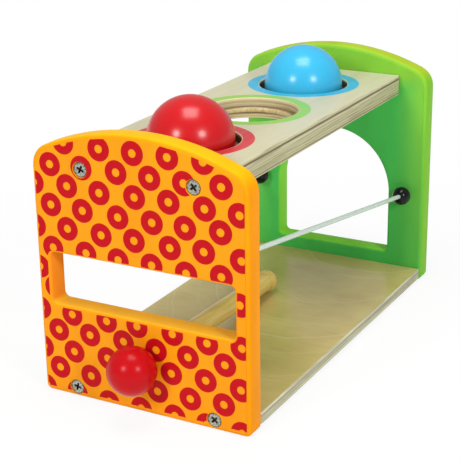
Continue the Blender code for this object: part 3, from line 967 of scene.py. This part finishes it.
def pointed(place, direction):
    """Returns the matrix that puts a turned piece at place, with its Z axis along direction."""
    return Matrix.Translation(place) @ direction.to_track_quat("Z", "Y").to_matrix().to_4x4()


def settle(piece, body, node):
    """Makes a piece ride on its body and stand for its node, whose part it hides."""
    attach(piece, body)
    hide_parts(node)


def screw_nodes(end):
    return [f"screw_{end}_{row}_{hand}" for row in ("plank", "base") for hand in ("left", "right")]


# Panels

def panel_walls(low, high, opening_walls):
    """Returns the walls of a panel with these corners: its outer wall and its openings'."""
    thickness = high.y - low.y
    outline = panel_outline((high.x - low.x) / 2, high.z)
    walls = [(outline, rounded_edge(PANEL_EDGE, thickness, EDGE_STEPS, EDGE_LIP))]
    for opening, edge, steps in opening_walls:
        walls.append((opening, rounded_edge(edge, thickness, steps)))
    return walls


def make_front_panel(plain, printed):
    low, high = corners("front_panel")
    side = high.x - SLOT_MARGIN
    slot = block_outline((-side, SLOT_SILL), (side, SLOT_TOP), SLOT_CORNER)
    hole = circle_outline((0, MALLET_HOLE_HEIGHT), MALLET_HOLE_RADIUS, SMALL_STEPS)
    openings = [(slot, OPENING_EDGE, EDGE_STEPS), (hole, BOARD_EASE, EASE_STEPS)]
    walls = panel_walls(low, high, openings)
    bm = board_mesh(walls, lambda u, v, depth: (u, low.y + depth, v))
    for face in bm.faces:
        if max(vert.co.y for vert in face.verts) - low.y < PRINT_DEPTH:
            face.material_index = SECOND_FINISH
    panel = finished("ringed_panel", bm, plain, printed)
    sink_screws(panel, screw_nodes("front"), low.y, 1, high.y - low.y)
    settle(panel, "bench", "front_panel")


def make_back_panel(plain):
    low, high = corners("back_panel")
    walls = panel_walls(low, high, [(arch_outline, OPENING_EDGE, EDGE_STEPS)])
    bm = board_mesh(walls, lambda u, v, depth: (u, high.y - depth, v))
    panel = finished("arched_panel", bm, plain)
    sink_screws(panel, screw_nodes("back"), high.y, -1, high.y - low.y)
    settle(panel, "bench", "back_panel")


# Boards

def board_wall(low, high):
    """Returns a level board's outer wall."""
    block = block_outline(low, high, BOARD_CORNER)
    return (lambda inset: block(-inset)), rounded_edge(BOARD_EASE, high.z - low.z, EASE_STEPS)


def make_plank():
    low, high = corners("plank")
    walls = [board_wall(low, high)]
    stains = []
    shaded_holes = []
    for word, colour in (("front", STAIN_RED), ("middle", STAIN_GREEN), ("back", STAIN_BLUE)):
        ring_low, ring_high = corners(f"retaining_ring_{word}")
        ring_radius = (ring_high.x - ring_low.x) / 2 - RING_SECTION_RADIUS
        centre = (ring_low.y + ring_high.y) / 2
        ring_depth = high.z - (ring_low.z + ring_high.z) / 2
        hole = circle_outline((0, centre), BALL_HOLE_RADIUS, HOLE_STEPS)
        walls.append((hole, grooved_wall(ring_radius, ring_depth, high.z - low.z)))
        stains.append((centre, colour))
        # The front and back holes' walls get painted shade from their balls
        if word in BALL_SHADE:
            shaded_holes.append((centre, BALL_SHADE[word]))
    bm = board_mesh(walls, lambda u, v, depth: (u, v, high.z - depth))
    face_level(bm)
    plies = bare_plies("plank_plies", high.z, low.z, PLANK_PLIES, shaded_holes)
    veneer = lacquered_veneer("plank_veneer", gloss=0.22, rough=0.26, stains=stains)
    settle(finished("holed_plank", bm, plies, veneer), "bench", "plank")


def make_base():
    low, high = corners("base")
    bm = board_mesh([board_wall(low, high)], lambda u, v, depth: (u, v, high.z - depth))
    face_level(bm)
    plies = bare_plies("base_plies", high.z, low.z, BASE_PLIES)
    veneer = lacquered_veneer("base_veneer", gloss=0.65, rough=0.15)
    settle(finished("base_board", bm, plies, veneer), "bench", "base")


# Balls and their elastic rings

def make_balls():
    for word, colour in (("red", BALL_RED), ("blue", BALL_BLUE)):
        low, high = corners(f"ball_{word}")
        profile = ball_profile((high.z - low.z) / 2, BALL_STEPS // 2)
        finish = lacquer(f"{word}_lacquer", colour, gloss=0.40, rough=0.215)
        ball = turned(f"knocking_ball_{word}", profile, BALL_STEPS, finish)
        ball.location = (low + high) / 2
        settle(ball, f"{word}_ball", f"ball_{word}")


def make_elastic_rings():
    finish = elastic("amber_elastic")
    for word in ("front", "middle", "back"):
        low, high = corners(f"retaining_ring_{word}")
        radius = (high.x - low.x) / 2 - RING_SECTION_RADIUS
        section = arc((radius, 0), RING_SECTION_RADIUS, 0, FULL_TURN, 2 * SECTION_STEPS)[:-1]
        ring = turned(f"elastic_ring_{word}", section, HOLE_STEPS, finish, closed=True)
        ring.location = (low + high) / 2
        settle(ring, "bench", f"retaining_ring_{word}")


# Rails and beads

def make_rails():
    white = moulded("white_rod_plastic", ROD_WHITE, gloss=0.35, rough=0.22)
    black = moulded("black_bead_plastic", BLACK, gloss=0.20, rough=0.08)
    for hand in ("left", "right"):
        low, high = corners(f"rail_{hand}")
        fall = math.atan2(high.z - low.z - 2 * RAIL_RADIUS, high.y - low.y)
        direction = Vector((0, math.cos(fall), -math.sin(fall)))
        half = (high.y - low.y) / (2 * math.cos(fall)) - RAIL_RADIUS * math.tan(fall)
        rail = turned(f"sloping_rail_{hand}", rail_profile(half), SMALL_STEPS, white)
        rail.matrix_world = pointed((low + high) / 2, direction)
        settle(rail, "bench", f"rail_{hand}")
        for place in ("front", "back"):
            name = f"stop_bead_{place}_{hand}"
            bead = turned(name, bead_section(), SMALL_STEPS, black, closed=True)
            bead.matrix_world = pointed(middle(f"bead_{place}_{hand}"), direction)
            settle(bead, "bench", f"bead_{place}_{hand}")


def rail_profile(half):
    """Returns a rod's profile about its middle, with bevelled ends. half is half its length."""
    bevel = RAIL_RADIUS / 4
    end = [(0, half), (RAIL_RADIUS - bevel, half), (RAIL_RADIUS, half - bevel)]
    return [(radius, -height) for radius, height in end] + end[::-1]


def bead_section():
    """Returns a bead's section: its bulging side and its bore with rounded mouths."""
    bore = RAIL_RADIUS + BEAD_PLAY
    top = math.acos((bore + BEAD_LIP) / BEAD_RADIUS)
    side = arc((0, 0), BEAD_RADIUS, -top, top, 2 * SECTION_STEPS)
    rim = side[-1][1] - BEAD_LIP
    return side + [(bore, rim), (bore, -rim)]


# Mallet

def bored_ball(radius, steps, seat):
    """Returns a turned ball's profile with a bore for the handle, down to its seat."""
    bore = HANDLE_RADIUS + BORE_PLAY
    return ball_profile(radius, steps, bore) + [(bore, seat), (0, seat)]


def make_mallet():
    slide = next(joint for joint in frame["joints"] if joint["name"] == "mallet_slide")
    axis = Vector(slide["axis"]).normalized()
    head_low, head_centre = corners("mallet_head")[0], middle("mallet_head")
    head_centre.y = head_low.y + MALLET_HEAD_RADIUS
    knob_high, knob_centre = corners("mallet_knob")[1], middle("mallet_knob")
    knob_centre.y = knob_high.y - KNOB_RADIUS
    wood = beech("turned_beech")

    profile = bored_ball(MALLET_HEAD_RADIUS, BALL_STEPS // 2, HEAD_SEAT)
    red = lacquer("mallet_red_lacquer", MALLET_RED, gloss=0.13, rough=0.22)
    head = turned("mallet_ball", profile, BALL_STEPS, red)
    head.data.transform(pointed(head_centre, -axis))
    settle(head, "mallet", "mallet_head")

    profile = bored_ball(KNOB_RADIUS, BALL_STEPS // 4, KNOB_SEAT)
    knob = turned("mallet_end_knob", profile, SMALL_STEPS, wood)
    knob.matrix_world = pointed(knob_centre, axis)
    settle(knob, "mallet", "mallet_knob")

    length = (head_centre - knob_centre).length
    profile = [(0, KNOB_SEAT), (HANDLE_RADIUS, KNOB_SEAT)]
    profile += [(HANDLE_RADIUS, length - HEAD_SEAT), (0, length - HEAD_SEAT)]
    handle = turned("mallet_shaft", profile, SMALL_STEPS, wood)
    handle.matrix_world = pointed(knob_centre, axis)
    settle(handle, "mallet", "mallet_handle")


# Screws

def cross_outline(grow):
    """Returns the cross recess in a screw's head."""
    half = RECESS_WIDTH / 2 + grow
    arm = RECESS_ARM + grow
    arm_corners = (half, -half), (arm, -half), (arm, half)
    points = []
    for i in range(4):
        turn = Matrix.Rotation(i * QUARTER, 2)
        points += [tuple(turn @ Vector(corner)) for corner in arm_corners]
    return points


def screw_profile(length):
    """Returns a screw's (offset, depth) pairs from the edge of its head to its point."""
    shrink = SCREW_SHANK_RADIUS - SCREW_HEAD_RADIUS
    return [
        (-2 * SINK_LIP, 0.0),
        (-SINK_LIP / 2, SINK_LIP / 2),
        (0.0, SINK_LIP),
        (0.0, SCREW_RIM),
        (shrink, SCREW_RIM - shrink),
        (shrink, length - SCREW_POINT),
        (SINK_LIP - SCREW_HEAD_RADIUS, length),
    ]


def screw_mesh(length):
    """Returns a screw with its cross recess, its head at the origin and its point along +Z."""

    def lay(u, v, depth):
        return (u, -v, depth)

    head = circle_outline((0, 0), SCREW_HEAD_RADIUS, SMALL_STEPS)
    recess = [(SINK_LIP / 2, 0.0), (0.0, SINK_LIP), (-RECESS_TAPER, RECESS_DEPTH)]
    bm = bmesh.new()
    rim, point = add_wall(bm, head, screw_profile(length), lay)
    mouth, floor = add_wall(bm, cross_outline, recess, lay)
    for edges in (rim + mouth, point, floor):
        fill(bm, edges)
    return bm


def make_screws():
    finish = zinc("zinc_plate")
    for end, inward in (("front", 1), ("back", -1)):
        for node, turn in zip(screw_nodes(end), SCREW_TURNS):
            low, high = corners(node)
            centre = (low + high) / 2
            centre.y = low.y if inward > 0 else high.y
            screw = finished(f"zinc_{node}", screw_mesh(high.y - low.y), finish)
            place = pointed(centre, Vector((0, inward, 0)))
            screw.matrix_world = place @ Matrix.Rotation(turn, 4, "Z")
            settle(screw, "bench", node)


# Studio

def make_floor():
    """Makes the floor, which the camera and reflections see as plain white for the most part."""
    bm = bmesh.new()
    bmesh.ops.create_circle(bm, cap_ends=True, segments=HOLE_STEPS, radius=FLOOR_RADIUS)
    white = (*FLOOR_WHITE, 1.0)
    finish = surface(
        "studio_floor", Base_Color=white, Roughness=FLOOR_ROUGH, Specular_IOR_Level=0.0
    )
    x, y, _ = finish.axes(finish.place())
    away = distance(x, y).rise(FLOOR_NEAR, FLOOR_FAR)
    seen, mirrored = white_rays(finish)
    share = (FLOOR_SHARE + (1.0 - FLOOR_SHARE) * away) * seen.larger(mirrored)
    lit = Tap(finish, finish.shader.outputs[0])
    glow = finish.node("ShaderNodeEmission", {}, {"Strength": 1.0})
    both = finish.node("ShaderNodeMixShader", {}, {0: share, 1: lit, 2: glow})
    finish.tree.links.new(both.socket, finish.tree.nodes["Material Output"].inputs["Surface"])
    floor = finished("studio_floor", bm, finish.block)
    floor.location.z = -FLOOR_DROP


def white_rays(finish):
    """Returns 1 for the camera's rays, and 1 for rays in gloss or through glass."""
    path = finish.node("ShaderNodeLightPath", {}, {}).socket.node
    camera, gloss, through = (
        Tap(finish, path.outputs[kind])
        for kind in ("Is Camera Ray", "Is Glossy Ray", "Is Transmission Ray")
    )
    return camera, gloss.larger(through)


def make_room():
    world = bpy.data.worlds.new("studio_room")
    bpy.context.scene.world = world
    finish = Finish(world)
    background = finish.tree.nodes["Background"]
    background.inputs["Color"].default_value = (1.0, 1.0, 1.0, 1.0)
    seen, mirrored = white_rays(finish)
    strength = ROOM_LIGHT + (1.0 - ROOM_LIGHT) * seen + (ROOM_PALE - ROOM_LIGHT) * mirrored
    finish.feed(background, {"Strength": strength})


def make_lamps():
    for name, (turn, height, away, side, light) in LAMPS.items():
        lamp = bpy.data.lights.new(name, "AREA")
        lamp.shape = "SQUARE"
        lamp.size = side
        lamp.energy = light * (math.pi * away) ** 2
        around = math.radians(CAMERA_TURN + turn)
        rise = math.tan(math.radians(height))
        back = Vector((math.sin(around), -math.cos(around), rise)).normalized()
        holder = bpy.data.objects.new(name, lamp)
        bpy.context.collection.objects.link(holder)
        holder.matrix_world = pointed(Vector(AIM) + away * back, back)


def make_camera():
    lens = bpy.data.cameras.new("photo_camera")
    lens.lens = CAMERA_LENS
    camera = bpy.data.objects.new("photo_camera", lens)
    bpy.context.collection.objects.link(camera)
    turn = Matrix.Rotation(math.radians(CAMERA_TURN), 4, "Z")
    dip = Matrix.Rotation(math.radians(90 - CAMERA_DIP), 4, "X")
    roll = Matrix.Rotation(math.radians(CAMERA_ROLL), 4, "Z")
    camera.matrix_world = Matrix.Translation(CAMERA_PLACE) @ turn @ dip @ roll
    bpy.context.scene.camera = camera


def main():
    orange = (ORANGE, ORANGE), (ORANGE_SIDE_LIT, ORANGE_CROWN_LIT, ORANGE_JAMB_LIT, ORANGE_SILL_LIT)
    green = (GREEN_SHADED, GREEN_LIT), (GREEN_SIDE_LIT, GREEN_CROWN_LIT, GREEN_ARCH_LIT, GREEN_ARCH_LIT)
    make_front_panel(
        paint("orange_spray_paint", *orange, gloss=0.03),
        paint("orange_ringed_paint", *orange, gloss=0.08, printed=True),
    )
    make_back_panel(paint("green_spray_paint", *green, gloss=0.05))
    make_plank()
    make_base()
    make_balls()
    make_elastic_rings()
    make_rails()
    make_mallet()
    make_screws()
    make_floor()
    make_room()
    make_lamps()
    make_camera()
    bpy.context.scene.view_settings.view_transform = "Standard"


main()
